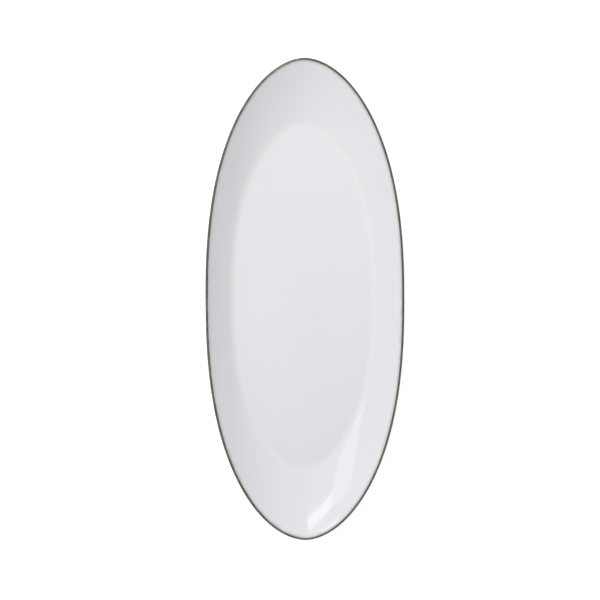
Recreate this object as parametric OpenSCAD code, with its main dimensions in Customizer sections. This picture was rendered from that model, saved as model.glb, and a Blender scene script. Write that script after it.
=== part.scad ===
// Long oval serving platter in glazed china. It lies on its foot, with its length along X and +Z up.
// The origin is at the middle of the foot's underside. Millimetres.

/* [Outline] */
// Overall length
platter_l = 350; // [300:5:400]
// Overall width
platter_w = 144; // [120:2:160]
// Overall height, from the table to the top of the lip
platter_h = 25; // [22:0.5:30]
// How full the outline is towards its ends: 2 is an ellipse and more is fuller
length_power = 2.4; // [2.1:0.05:2.8]
// How full the outline is across its width: less than 2 draws the ends to a finer tip
width_power = 1.85; // [1.7:0.05:2.2]

/* [Well] */
// Where the lines of floor and wall would meet, as a share of the outline
corner_share = 0.715; // [0.6:0.005:0.75]
// Width of the cove, which rounds that corner off
cove_w = 6; // [3:0.5:10]
// How much the wall steepens towards the lip: 0 is a straight wall
wall_hollow = 0.35; // [0:0.05:0.5]

/* [Shell] */
// Thickness of the floor and, measured upright, of the wall, with both coats of glaze
floor_t = 4.5; // [3.5:0.25:6]
// Thickness of the lip
lip_t = 3.4; // [2.6:0.1:4]
// Thickness of each coat of glaze
glaze_t = 0.4; // [0.3:0.05:0.6]
// How far the bare band comes in from the outline over the top of the lip
band_in = 1.75; // [1.2:0.05:2.2]

/* [Foot] */
// Height of the foot below the glazed underside
foot_h = 3; // [2:0.25:4]
// Width of the foot's flat underside
foot_w = 4; // [3:0.5:6]
// How far the foot is set in from the edge of the floor
foot_inset = 1.5; // [1:0.5:3]

/* [Hidden] */

china_color = [0.83, 0.79, 0.73];
glaze_color = [0.91, 0.91, 0.94];
band_color = [0.42, 0.39, 0.36];

// A multiple of 4, so that the outline reaches its full length and width
ring_steps = 88;
wall_steps = 14;
lip_r = lip_t / 2;
half_l = platter_l / 2;
half_w = platter_w / 2;
floor_z = foot_h + floor_t;
lip_start_turn = -45;
lip_end_turn = 115;
lip_turn_step = 12;
band_start_turn = asin((lip_r - band_in) / lip_r);

// A ring is [half length, half width, height]. inset is how far it lies in from the outline.
function inset_ring(inset, z) = [half_l - inset, half_w - inset, z];

// The lip is round. turn is 0 on its top, negative on the well's side and 90 at the outline.
function lip_ring(turn) = inset_ring(lip_r * (1 - sin(turn)), platter_h - lip_r * (1 - cos(turn)));

lip_start = lip_ring(lip_start_turn);
corner_l = half_l * corner_share;
corner_w = half_w * corner_share;
wall_rise = lip_start[2] - floor_z;

// How far out from the corner the well's surface is at a height over the floor.
// span is the distance from the corner to the lip. The cove is a parabola, and so is the wall above it.
function out_at(height, span) =
    let (
        reach = cove_w / 2,
        slope = wall_rise / span * (1 - wall_hollow * (1 - reach / span) ^ 2),
        bend = wall_hollow * wall_rise / span ^ 2,
        above = height - slope * reach
    )
    above < 0
        ? sqrt(4 * reach * height / slope) - reach
        : reach + 2 * above / (slope + sqrt(slope ^ 2 + 4 * bend * above));

// step runs from 0 at the floor to wall_steps at the lip, and the rings lie closest in the cove.
function wall_ring(step) =
    let (height = wall_rise * (step / wall_steps) ^ 2)
    [
        corner_l + out_at(height, lip_start[0] - corner_l),
        corner_w + out_at(height, lip_start[1] - corner_w),
        floor_z + height
    ];

function lowered(ring, depth) = [ring[0], ring[1], ring[2] - depth];

floor_edge = wall_ring(0);
foot_edge = [floor_edge[0] - foot_inset, floor_edge[1] - foot_inset, foot_h];
foot_inner = [foot_edge[0] - foot_w, foot_edge[1] - foot_w, foot_h];

// The finished surface as rings, from the floor out over the lip and back under the wall to the foot.
inside_rings = [for (step = [0:wall_steps - 1]) wall_ring(step)];
lip_rings = [
    for (turn = [lip_start_turn:lip_turn_step:band_start_turn - lip_turn_step / 2]) lip_ring(turn)
];
band_rings = [
    for (turn = [band_start_turn:lip_turn_step:lip_end_turn]) lip_ring(turn)
];
outside_rings = [for (step = [wall_steps - 1:-1:0]) lowered(wall_ring(step), floor_t)];
skin = concat(inside_rings, lip_rings, band_rings, outside_rings, [foot_edge]);
band_start = len(inside_rings) + len(lip_rings);
band_end = band_start + len(band_rings) - 1;
skin_end = len(skin) - 1;

// The clay's own surface: each ring of the finished one, moved in by the coat's thickness.
function clay_ring(i) =
    let (
        along = skin[min(i + 1, skin_end)] - skin[max(i - 1, 0)],
        reach = norm([along[1], along[2]]),
        inward = [along[2], -along[1]] * glaze_t / reach
    )
    skin[i] + [inward[0], inward[0], inward[1]];
clay_skin = [for (i = [0:skin_end]) clay_ring(i)];

function power_of(value, power) = sign(value) * abs(value) ^ (2 / power);
function ring_points(ring) = [
    for (i = [0:ring_steps - 1])
        let (turn = 360 * i / ring_steps)
        [ring[0] * power_of(cos(turn), length_power), ring[1] * power_of(sin(turn), width_power), ring[2]]
];
function outline(ring) = [for (point = ring_points(ring)) [point[0], point[1]]];

// One solid through a list of rings. Its ends are capped, or joined to each other where closed is true.
module loft(rings, closed = false) {
    count = len(rings);
    function place(j, i) = (j % count) * ring_steps + i % ring_steps;
    sides = [
        for (j = [0:count - (closed ? 1 : 2)])
            for (i = [0:ring_steps - 1])
                each [
                    [place(j, i), place(j, i + 1), place(j + 1, i + 1)],
                    [place(j, i), place(j + 1, i + 1), place(j + 1, i)]
                ]
    ];
    first_cap = [for (i = [ring_steps - 1:-1:0]) place(0, i)];
    last_cap = [for (i = [0:ring_steps - 1]) place(count - 1, i)];
    caps = closed ? [] : [first_cap, last_cap];
    polyhedron([for (ring = rings) each ring_points(ring)], concat(sides, caps));
}

// The rings of a coat, out along the finished surface and back along the clay.
function coat(from, to) = [
    each [for (i = [from:to]) skin[i]],
    each [for (i = [to:-1:from]) clay_skin[i]]
];

module clay_body() {
    color(china_color) loft(clay_skin);
}

module well_glaze() {
    color(glaze_color) loft(coat(0, band_start));
}

module rim_band() {
    color(band_color) loft(coat(band_start, band_end), closed = true);
}

module wall_glaze() {
    color(glaze_color) loft(coat(band_end, skin_end), closed = true);
}

module foot_ring() {
    color(china_color)
        linear_extrude(height = foot_h + glaze_t)
            difference() {
                polygon(outline(foot_edge));
                polygon(outline(foot_inner));
            }
}

module base_glaze() {
    color(glaze_color)
        translate([0, 0, foot_h])
            linear_extrude(height = glaze_t)
                polygon(outline(foot_inner));
}

clay_body();
foot_ring();
well_glaze();
rim_band();
wall_glaze();
base_glaze();
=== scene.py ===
"""Looks of a long oval serving platter in glazed china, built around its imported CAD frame. Metres."""

import math

import bpy
import numpy as np
from mathutils import Matrix, Vector


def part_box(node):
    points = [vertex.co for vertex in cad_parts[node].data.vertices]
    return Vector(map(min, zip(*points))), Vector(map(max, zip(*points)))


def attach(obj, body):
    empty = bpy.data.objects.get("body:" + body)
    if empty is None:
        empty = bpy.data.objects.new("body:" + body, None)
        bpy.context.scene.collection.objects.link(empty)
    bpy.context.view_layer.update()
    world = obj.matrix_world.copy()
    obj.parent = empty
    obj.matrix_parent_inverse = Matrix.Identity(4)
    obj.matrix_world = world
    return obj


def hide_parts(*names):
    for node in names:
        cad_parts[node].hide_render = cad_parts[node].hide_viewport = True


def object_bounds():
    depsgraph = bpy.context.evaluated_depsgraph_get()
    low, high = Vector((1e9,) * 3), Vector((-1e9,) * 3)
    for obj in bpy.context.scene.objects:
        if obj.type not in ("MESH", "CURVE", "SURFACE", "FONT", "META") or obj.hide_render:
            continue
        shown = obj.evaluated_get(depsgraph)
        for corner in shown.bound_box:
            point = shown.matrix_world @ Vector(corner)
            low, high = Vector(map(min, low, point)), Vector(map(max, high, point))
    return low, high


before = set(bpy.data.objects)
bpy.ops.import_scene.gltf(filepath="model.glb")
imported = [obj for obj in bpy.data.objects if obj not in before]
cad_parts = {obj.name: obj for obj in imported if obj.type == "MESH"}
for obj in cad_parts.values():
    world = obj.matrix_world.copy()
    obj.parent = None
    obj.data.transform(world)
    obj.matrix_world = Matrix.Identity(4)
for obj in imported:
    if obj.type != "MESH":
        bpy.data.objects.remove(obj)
cad_low, cad_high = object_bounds()

MM = 0.001

# ---- Sizes, from the CAD frame where it gives them ------------------------------------------------
HALF_L, HALF_W, RIM_Z = cad_high
FOOT_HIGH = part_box("foot_ring")[1]
BASE_LOW, BASE_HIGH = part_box("base_glaze")
WELL_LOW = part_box("well_glaze")[0]

GLAZE_T = BASE_HIGH.z - BASE_LOW.z
UNDER_Z = BASE_LOW.z
FLOOR_Z = WELL_LOW.z + GLAZE_T
SHELL_T = FLOOR_Z - UNDER_Z
FOOT_W = FOOT_HIGH.x - BASE_HIGH.x

LENGTH_POWER = 2.4
WIDTH_POWER = 1.85
CORNER_SHARE = 0.715
COVE_REACH = 3.0 * MM
WALL_HOLLOW = 0.35
LIP_R = 1.7 * MM
BAND_IN = 1.75 * MM

# Points in each ring, and rings in each stretch of the surface
AROUND = 512
FLOOR_RINGS = 10
WALL_RINGS = 46
SHOULDER_RINGS = 8
CREST_RINGS = 20
UNDER_RINGS = 34
FILLET_RINGS = 6
FOOT_SIDE_RINGS = 11


# ---- Outlines -------------------------------------------------------------------------------------
def power_curve(turn, half_l, half_w):
    """Points of the oval |x / half_l| ** LENGTH_POWER + |y / half_w| ** WIDTH_POWER = 1."""
    c, s = np.cos(turn), np.sin(turn)
    x = half_l * np.sign(c) * np.abs(c) ** (2 / LENGTH_POWER)
    y = half_w * np.sign(s) * np.abs(s) ** (2 / WIDTH_POWER)
    return np.stack([x, y], 1)


def even_turns(count):
    """Turns that give points at even distances along the platter's outline, from the +X tip round."""
    fine = np.linspace(0, 2 * math.pi, 64 * count + 1)
    points = power_curve(fine, HALF_L, HALF_W)
    along = np.concatenate([[0], np.cumsum(np.linalg.norm(np.diff(points, axis=0), axis=1))])
    return np.interp(np.arange(count) / count * along[-1], along, fine)


def outward(points):
    """Unit normals of a closed outline, pointing out."""
    along = np.roll(points, -1, 0) - np.roll(points, 1, 0)
    normal = np.stack([along[:, 1], -along[:, 0]], 1)
    return normal / np.linalg.norm(normal, axis=1)[:, None]


TURNS = even_turns(AROUND)
RIM = power_curve(TURNS, HALF_L, HALF_W)
RIM_OUT = outward(RIM)
FOOT = power_curve(TURNS, FOOT_HIGH.x, FOOT_HIGH.y)
FOOT_OUT = outward(FOOT)


def at_height(plan, z):
    """A ring of 3-D points from a plan and a height, or a height for each point."""
    return np.column_stack([plan, np.broadcast_to(z, len(plan))])


# ---- The finished surface, ring by ring -----------------------------------------------------------
LIP_MEAN_TURN = math.radians(-45)
WALL_RISE = RIM_Z - LIP_R * (1 - math.cos(LIP_MEAN_TURN)) - FLOOR_Z
CORNER_L, CORNER_W = HALF_L * CORNER_SHARE, HALF_W * CORNER_SHARE


def out_at(height, span):
    """How far out from the corner of floor and wall the surface is at a height over the floor. span is the distance
    from the corner to the lip. The cove is a parabola, and so is the wall above it."""
    slope = WALL_RISE / span * (1 - WALL_HOLLOW * (1 - COVE_REACH / span) ** 2)
    bend = WALL_HOLLOW * WALL_RISE / span**2
    above = height - slope * COVE_REACH
    if above < 0:
        return math.sqrt(4 * COVE_REACH * height / slope) - COVE_REACH
    return COVE_REACH + 2 * above / (slope + math.sqrt(slope**2 + 4 * bend * above))


def bare_wall_ring(step):
    """Ring of the well's surface, step being 0 at the floor and 1 at the lip. The rings lie closest in the cove."""
    height = WALL_RISE * step**2
    lip_in = LIP_R * (1 - math.sin(LIP_MEAN_TURN))
    return at_height(power_curve(TURNS,
                                 CORNER_L + out_at(height, HALF_L - lip_in - CORNER_L),
                                 CORNER_W + out_at(height, HALF_W - lip_in - CORNER_W)),
                     FLOOR_Z + height)


WALL_TOP = bare_wall_ring(1)


def lip_ring(turn):
    """Ring on the round lip. turn is 0 on its top, negative on the well's side and a quarter turn at the outline."""
    inset = LIP_R * (1 - np.sin(turn))
    return at_height(RIM - RIM_OUT * np.reshape(inset, (-1, 1)), RIM_Z - LIP_R * (1 - np.cos(turn)))


def wall_ring(step, lip_start):
    """Ring of the well's surface, eased over its height to end on the lip's first ring."""
    return bare_wall_ring(step) + (lip_start - WALL_TOP) * step**2


def lip_start_turn():
    """The turn at which the wall meets the lip with no crease, for each point of the outline."""
    turn = np.full(AROUND, LIP_MEAN_TURN)
    for _ in range(12):
        last = wall_ring(1, lip_ring(turn)) - wall_ring(0.99, lip_ring(turn))
        turn = -np.arctan2(last[:, 2], np.sum(last[:, :2] * RIM_OUT, 1))
    return turn


LIP_START = lip_start_turn()


def well_ring(step):
    return wall_ring(step, lip_ring(LIP_START))


def lowered(ring, depth):
    return ring - np.array([0, 0, depth])


def hermite(before, start, end, after, steps=8):
    """Rings of a smooth curve from start to end, which leaves along before-start and arrives along end-after."""
    reach = np.linalg.norm(end - start, axis=1)[:, None]
    leave = (start - before) / np.linalg.norm(start - before, axis=1)[:, None] * reach
    arrive = (after - end) / np.linalg.norm(after - end, axis=1)[:, None] * reach
    rings = []
    for i in range(1, steps):
        t = i / steps
        rings.append(start * (2 * t**3 - 3 * t**2 + 1) + leave * (t**3 - 2 * t**2 + t)
                     + end * (3 * t**2 - 2 * t**3) + arrive * (t**3 - t**2))
    return rings


def skin_rings():
    """The finished surface as named stretches of rings, from the floor's middle over the lip to the foot's side."""
    band_turn = math.asin((LIP_R - BAND_IN) / LIP_R)
    lip_end = math.radians(100)
    under_start = 0.93
    fillet_r = 0.8 * MM
    fillet_out = 0.15 * MM
    floor_edge = well_ring(0)[:, :2]
    floor = [at_height(floor_edge * (i / FLOOR_RINGS), FLOOR_Z) for i in range(1, FLOOR_RINGS)]
    wall = [well_ring(i / WALL_RINGS) for i in range(WALL_RINGS)]
    shoulder = [lip_ring(LIP_START + (band_turn - LIP_START) * i / SHOULDER_RINGS)
                for i in range(SHOULDER_RINGS)]
    crest = [lip_ring(np.full(AROUND, band_turn + (lip_end - band_turn) * i / CREST_RINGS))
             for i in range(CREST_RINGS + 1)]
    outer = [lowered(well_ring(step), SHELL_T) for step in np.linspace(under_start, 0, UNDER_RINGS)]
    blend = hermite(crest[-2], crest[-1], outer[0], outer[1])
    side = []
    for i in range(FILLET_RINGS + 1):
        turn = math.radians(90 * i / FILLET_RINGS)
        side.append(at_height(FOOT + FOOT_OUT * (fillet_out + fillet_r * (1 - math.sin(turn))),
                              UNDER_Z - fillet_r * (1 - math.cos(turn))))
    end = [at_height(FOOT + FOOT_OUT * gap * MM, UNDER_Z - fillet_r - down * MM)
           for gap, down in ((0.14, 0.35), (0.11, 0.5), (0.05, 0.6), (0.0, 0.63))]
    return floor + wall + shoulder, crest, blend + outer + side + end


INSIDE, CREST, OUTSIDE = skin_rings()
SKIN = np.array(INSIDE + CREST + OUTSIDE)
BAND_FROM = len(INSIDE)
BAND_TO = BAND_FROM + len(CREST) - 1


def surface_normals(rings):
    """Normals of a surface of closed rings, by central differences. They point out of the clay."""
    around = np.roll(rings, -1, 1) - np.roll(rings, 1, 1)
    along = np.gradient(rings, axis=0)
    normal = np.cross(along, around)
    return normal / np.linalg.norm(normal, axis=2)[:, :, None]


CLAY = SKIN - surface_normals(SKIN) * GLAZE_T


# ---- Meshes ---------------------------------------------------------------------------------------
# What a gap attribute says on a piece, or at a point, that is nowhere near the lip or the cove
FAR_MM = 100.0


def make_piece(name, rings, closed, node, gaps=()):
    """A closed solid through rings, riding on the platter's body. A closed run of rings joins end to end, and an open
    one is capped at both ends round a middle point. gaps holds the name and the values in mm of each attribute."""
    rings = np.asarray(rings)
    count = len(rings)
    points = [tuple(p) for p in rings.reshape(-1, 3)]
    faces = []
    for j in range(count if closed else count - 1):
        a, b = j * AROUND, (j + 1) % count * AROUND
        for i in range(AROUND):
            k = (i + 1) % AROUND
            faces.append((a + i, b + i, b + k, a + k))
    if not closed:
        for ring, turned in ((0, False), (count - 1, True)):
            middle = len(points)
            points.append(tuple(rings[ring].mean(0)))
            for i in range(AROUND):
                a, b = ring * AROUND + i, ring * AROUND + (i + 1) % AROUND
                faces.append((middle, b, a) if turned else (middle, a, b))
    mesh = bpy.data.meshes.new(name)
    mesh.from_pydata(points, [], faces)
    mesh.update()
    mesh.shade_smooth()
    for attribute, gap in gaps:
        values = np.full(len(points), FAR_MM)
        values[: gap.size] = gap.reshape(-1)
        mesh.attributes.new(attribute, "FLOAT", "POINT").data.foreach_set("value", values)
    piece = bpy.data.objects.new(name, mesh)
    bpy.context.scene.collection.objects.link(piece)
    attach(piece, "root")
    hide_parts(node)
    return piece


def coat(first, last):
    """Rings round a coat of glaze: out along the finished surface and back along the clay."""
    return np.concatenate([SKIN[first:last + 1], CLAY[first:last + 1][::-1]])


def gap_from(ring, first, last):
    """Distance in mm of each point of a coat from a ring, along the finished surface."""
    steps = np.linalg.norm(np.diff(SKIN, axis=0), axis=2)
    along = np.concatenate([np.zeros((1, AROUND)), np.cumsum(steps, 0)]) / MM
    gap = np.abs(along - along[ring])[first:last + 1]
    return np.concatenate([gap, gap[::-1]])


LAST = len(SKIN) - 1
COVE_MIDDLE = FLOOR_RINGS + 5
NO_COVE = ("cove_gap_mm", np.array([FAR_MM]))
well = make_piece("glaze_in_well", coat(0, BAND_FROM), False, "well_glaze",
                  [("lip_gap_mm", gap_from(BAND_FROM, 0, BAND_FROM)),
                   ("cove_gap_mm", gap_from(COVE_MIDDLE, 0, BAND_FROM))])
band = make_piece("bare_lip", coat(BAND_FROM, BAND_TO), True, "rim_band")
outside = make_piece("glaze_under_wall", coat(BAND_TO, LAST), True, "wall_glaze",
                     [("lip_gap_mm", gap_from(BAND_TO, BAND_TO, LAST)), NO_COVE])
CLAY_END = LAST - FOOT_SIDE_RINGS + 1
clay = make_piece("clay_shell", CLAY[:CLAY_END + 1], False, "clay_body")


def foot_rings():
    """The foot as a closed run of rings: down its outer side, across its ground underside and up its inner side."""
    inner_side = -FOOT_W
    profile = [(0, UNDER_Z + GLAZE_T), (0, 1.2 * MM), (-0.08 * MM, 0.7 * MM), (-0.3 * MM, 0.28 * MM),
               (-0.62 * MM, 0.07 * MM), (-1.0 * MM, 0.0)]
    mirrored = [(inner_side - out, z) for out, z in reversed(profile)]
    return [at_height(FOOT + FOOT_OUT * out, z) for out, z in profile + mirrored]


foot = make_piece("foot", foot_rings(), True, "foot_ring")


def base_rings():
    """The glaze within the foot, with a small meniscus where it meets the foot's inner side."""
    inner = [at_height(FOOT - FOOT_OUT * (FOOT_W + out * MM), UNDER_Z - down * MM)
             for out, down in ((0.02, 0.5), (0.1, 0.45), (0.22, 0.25), (0.5, 0.07), (0.9, 0.0))]
    edge = inner[-1][:, :2]
    flat = [at_height(edge * share, UNDER_Z) for share in (0.97, 0.9, 0.8, 0.65, 0.5, 0.35, 0.2)]
    top = [at_height(ring[:, :2], UNDER_Z + GLAZE_T) for ring in [*flat[::-1], *inner[:0:-1]]]
    top.append(at_height(FOOT - FOOT_OUT * FOOT_W, UNDER_Z + GLAZE_T))
    return top + inner + flat


base = make_piece("glaze_within_foot", base_rings(), False, "base_glaze",
                  [("lip_gap_mm", np.array([FAR_MM])), NO_COVE])


# ---- Materials ------------------------------------------------------------------------------------
class Nodes:
    """Adds shader nodes to one material in a few words."""

    def __init__(self, name):
        self.material = bpy.data.materials.new(name)
        self.material.use_nodes = True
        self.tree = self.material.node_tree
        self.shader = self.tree.nodes["Principled BSDF"]
        self.place = self.tree.nodes.new("ShaderNodeTexCoord").outputs["Object"]

    def link(self, source, target):
        self.tree.links.new(source, target)

    def noise(self, scale, detail=3.0, roughness=0.5):
        node = self.tree.nodes.new("ShaderNodeTexNoise")
        node.inputs["Scale"].default_value = scale
        node.inputs["Detail"].default_value = detail
        node.inputs["Roughness"].default_value = roughness
        self.link(self.place, node.inputs["Vector"])
        return node.outputs["Fac"]

    def attribute(self, name):
        node = self.tree.nodes.new("ShaderNodeAttribute")
        node.attribute_name = name
        return node.outputs["Fac"]

    def math(self, operation, first, second=0.0, third=None):
        node = self.tree.nodes.new("ShaderNodeMath")
        node.operation = operation
        for socket, value in zip(node.inputs, (first, second, third)):
            if isinstance(value, (int, float)):
                socket.default_value = value
            elif value is not None:
                self.link(value, socket)
        return node.outputs[0]

    def ramp(self, value, stops):
        """Colours or greys along a value from 0 to 1."""
        node = self.tree.nodes.new("ShaderNodeValToRGB")
        ramp = node.color_ramp
        while len(ramp.elements) < len(stops):
            ramp.elements.new(0.5)
        for element, (place, colour) in zip(ramp.elements, stops):
            element.position = place
            element.color = (*colour, 1) if isinstance(colour, tuple) else (colour,) * 3 + (1,)
        self.link(value, node.inputs["Fac"])
        return node.outputs["Color"]

    def span(self, value, low, high, to_low, to_high):
        node = self.tree.nodes.new("ShaderNodeMapRange")
        for name, number in (("From Min", low), ("From Max", high), ("To Min", to_low), ("To Max", to_high)):
            node.inputs[name].default_value = number
        self.link(value, node.inputs["Value"])
        return node.outputs["Result"]

    def mix(self, factor, first, second, blend="MIX"):
        node = self.tree.nodes.new("ShaderNodeMix")
        node.data_type = "RGBA"
        node.blend_type = blend
        for name, value in (("Factor", factor), ("A", first), ("B", second)):
            socket = next(s for s in node.inputs if s.name == name and s.enabled)
            if isinstance(value, (int, float)):
                socket.default_value = value
            elif isinstance(value, tuple):
                socket.default_value = (*value, 1)
            else:
                self.link(value, socket)
        return next(s for s in node.outputs if s.enabled)

    def bump(self, heights):
        """Chains bumps. heights is a list of (height, metres of relief)."""
        normal = None
        for height, distance in heights:
            node = self.tree.nodes.new("ShaderNodeBump")
            node.inputs["Distance"].default_value = distance
            self.link(height, node.inputs["Height"])
            if normal is not None:
                self.link(normal, node.inputs["Normal"])
            normal = node.outputs["Normal"]
        self.link(normal, self.shader.inputs["Normal"])


def glaze_material():
    """Cool white gloss glaze, thinner and creamier beside the bare lip, with a painted highlight: a little whiter in
    a soft ring along the cove.
    """
    m = Nodes("white_glaze_gloss")
    wobble = m.span(m.noise(160, 2), 0.3, 0.7, -0.35, 0.35)
    gap = m.math("ADD", m.attribute("lip_gap_mm"), wobble)
    thin = m.ramp(m.span(gap, 0, 3.0, 0, 1), [
        (0.0, (0.50, 0.465, 0.42)),
        (0.28, (0.66, 0.64, 0.61)),
        (0.62, (0.765, 0.76, 0.765)),
        (1.0, (0.80, 0.795, 0.825)),
    ])
    drift = m.span(m.noise(30, 2), 0.3, 0.7, -0.8, 0.8)
    # Painted highlight: a soft ring about the cove's middle is mixed to a whiter glaze colour, standing in for light
    # reflected in the cove.
    painted_cove_highlight = m.span(m.math("ADD", m.attribute("cove_gap_mm"), drift), 1.0, 5.0, 1, 0)
    cloud = m.ramp(m.noise(14, 3), [(0.3, 0.985), (0.7, 1.0)])
    glaze = m.mix(painted_cove_highlight, thin, (0.823, 0.82, 0.832))
    m.link(m.mix(1.0, glaze, cloud, "MULTIPLY"), m.shader.inputs["Base Color"])
    m.link(m.span(m.noise(70, 3), 0.3, 0.7, 0.055, 0.085), m.shader.inputs["Roughness"])
    m.shader.inputs["IOR"].default_value = 1.5
    m.bump([(m.noise(26, 1.5), 0.00006), (m.noise(620, 2), 0.0000012)])
    return m.material


def band_material():
    """Brown-grey oxide on the bare lip: mottled, a little satin."""
    m = Nodes("lip_oxide")
    mottle = m.noise(900, 4, 0.6)
    patches = m.noise(130, 3, 0.55)
    tone = m.math("MULTIPLY_ADD", patches, 0.55, m.math("MULTIPLY", mottle, 0.45))
    m.link(m.ramp(tone, [
        (0.33, (0.055, 0.046, 0.038)),
        (0.5, (0.105, 0.093, 0.08)),
        (0.68, (0.19, 0.172, 0.15)),
    ]), m.shader.inputs["Base Color"])
    m.link(m.span(mottle, 0.3, 0.7, 0.24, 0.42), m.shader.inputs["Roughness"])
    m.bump([(mottle, 0.00003), (m.noise(4200, 2), 0.000008)])
    return m.material


def bare_material():
    """Fired china with no glaze: off-white, fine-grained, and mottled a little greyer in places at random."""
    m = Nodes("bare_china_ground")
    grain = m.noise(2600, 4, 0.7)
    clouds = m.noise(60, 3)
    tone = m.math("MULTIPLY_ADD", grain, 0.4, m.math("MULTIPLY", clouds, 0.6))
    m.link(m.ramp(tone, [
        (0.35, (0.52, 0.475, 0.41)),
        (0.5, (0.66, 0.62, 0.555)),
        (0.65, (0.74, 0.71, 0.65)),
    ]), m.shader.inputs["Base Color"])
    m.link(m.span(grain, 0.3, 0.7, 0.7, 0.95), m.shader.inputs["Roughness"])
    m.bump([(grain, 0.00004)])
    return m.material


GLAZE = glaze_material()
BAND = band_material()
BARE = bare_material()
for piece, material in ((well, GLAZE), (outside, GLAZE), (base, GLAZE), (band, BAND), (clay, BARE), (foot, BARE)):
    piece.data.materials.append(material)


# ---- Stage: floor, light and camera ---------------------------------------------------------------
def floor_stage():
    """A wide white floor that the camera sees a little brighter than it is lit, as an over-lit studio floor is."""
    mesh = bpy.data.meshes.new("studio_floor")
    reach = 6.0
    mesh.from_pydata([(-reach, -reach, 0), (reach, -reach, 0), (reach, reach, 0), (-reach, reach, 0)], [],
                     [(0, 1, 2, 3)])
    floor = bpy.data.objects.new("studio_floor", mesh)
    bpy.context.scene.collection.objects.link(floor)
    material = bpy.data.materials.new("studio_white")
    material.use_nodes = True
    tree = material.node_tree
    shader = tree.nodes["Principled BSDF"]
    shader.inputs["Base Color"].default_value = (0.8, 0.8, 0.8, 1)
    shader.inputs["Roughness"].default_value = 0.9
    shader.inputs["Specular IOR Level"].default_value = 0.0
    seen = tree.nodes.new("ShaderNodeLightPath")
    glow = tree.nodes.new("ShaderNodeMath")
    glow.operation = "MULTIPLY"
    glow.inputs[1].default_value = 0.55
    shader.inputs["Emission Color"].default_value = (1, 1, 1, 1)
    tree.links.new(seen.outputs["Is Camera Ray"], glow.inputs[0])
    tree.links.new(glow.outputs[0], shader.inputs["Emission Strength"])
    mesh.materials.append(material)


floor_stage()


def world_light(strength):
    """White surroundings, which the camera sees as plain white."""
    world = bpy.data.worlds.new("studio")
    bpy.context.scene.world = world
    world.use_nodes = True
    tree = world.node_tree
    background = tree.nodes["Background"]
    background.inputs["Color"].default_value = (0.98, 0.985, 1.0, 1)
    seen = tree.nodes.new("ShaderNodeLightPath")
    mix = tree.nodes.new("ShaderNodeMapRange")
    mix.inputs["To Min"].default_value = strength
    mix.inputs["To Max"].default_value = 1.1
    tree.links.new(seen.outputs["Is Camera Ray"], mix.inputs["Value"])
    tree.links.new(mix.outputs["Result"], background.inputs["Strength"])


world_light(0.552)

PLATTER_MIDDLE = Vector((0, 0, RIM_Z))


def softbox(name, place, size, radiance, faces_down=False, turned=0.0):
    """An area light in front of the platter, at a place measured from the middle of its rim. It faces the platter, or
    straight down. radiance is its own brightness, on a scale where a lit white surface is 1."""
    light = bpy.data.lights.new(name, "AREA")
    light.shape = "RECTANGLE"
    light.size, light.size_y = size
    light.energy = radiance * size[0] * size[1] * math.pi
    lamp = bpy.data.objects.new(name, light)
    bpy.context.scene.collection.objects.link(lamp)
    back = Vector((0, 0, 1)) if faces_down else Vector(place).normalized()
    side = Vector((-math.sin(turned), math.cos(turned), 0))
    side = (side - back * side.dot(back)).normalized()
    turn = Matrix((side, back.cross(side), back)).transposed()
    lamp.matrix_world = Matrix.Translation(PLATTER_MIDDLE + Vector(place)) @ turn.to_4x4()


# Seen from the camera, the top of the picture is -X and its right is +Y. The narrow strip and the two overlapping
# boxes beside it draw the bent highlight in the lower right of the well.
softbox("strip_softbox", (-1.24, -0.51, 2.0), (1.14, 0.25), 3.6, faces_down=True, turned=0.2)
softbox("side_softbox_inner", (-0.68, -1.37, 2.0), (0.66, 1.16), 1.6, faces_down=True)
softbox("side_softbox_outer", (-0.66, -1.62, 2.0), (1.16, 1.12), 1.5, faces_down=True)
softbox("far_softbox", (-2.07, -0.92, 2.0), (1.36, 1.06), 3.0, faces_down=True)
softbox("key_softbox", (-1.032, -0.301, 0.731), (1.1, 0.6), 3.7)
softbox("low_bounce", (1.55, 0.0, 0.39), (1.6, 0.4), 2.4)


def add_camera():
    """The camera looks down into the well from a little towards the -X end and the -Y side."""
    towards_end, towards_side, roll = math.radians(6.5), math.radians(5.0), math.radians(0.2)
    lens, sensor = 180.0, 36.0
    data = bpy.data.cameras.new("camera")
    data.lens, data.sensor_width = lens, sensor
    camera = bpy.data.objects.new("camera", data)
    bpy.context.scene.collection.objects.link(camera)
    back = Vector((-math.tan(towards_end), -math.tan(towards_side), 1)).normalized()
    right = Vector((-1, 0, 0)).cross(back).normalized()
    right.rotate(Matrix.Rotation(-roll, 3, back))
    up = back.cross(right)
    frame_width = 0.4322
    distance = frame_width * lens / sensor
    aim = PLATTER_MIDDLE - right * 3.9 * MM + up * 0.9 * MM
    turn = Matrix((right, up, back)).transposed()
    camera.matrix_world = Matrix.Translation(aim + back * distance) @ turn.to_4x4()
    data.clip_start, data.clip_end = 0.05, 30
    bpy.context.scene.camera = camera


add_camera()

scene = bpy.context.scene
scene.view_settings.view_transform = "Standard"
scene.view_settings.look = "None"
scene.cycles.use_denoising = True
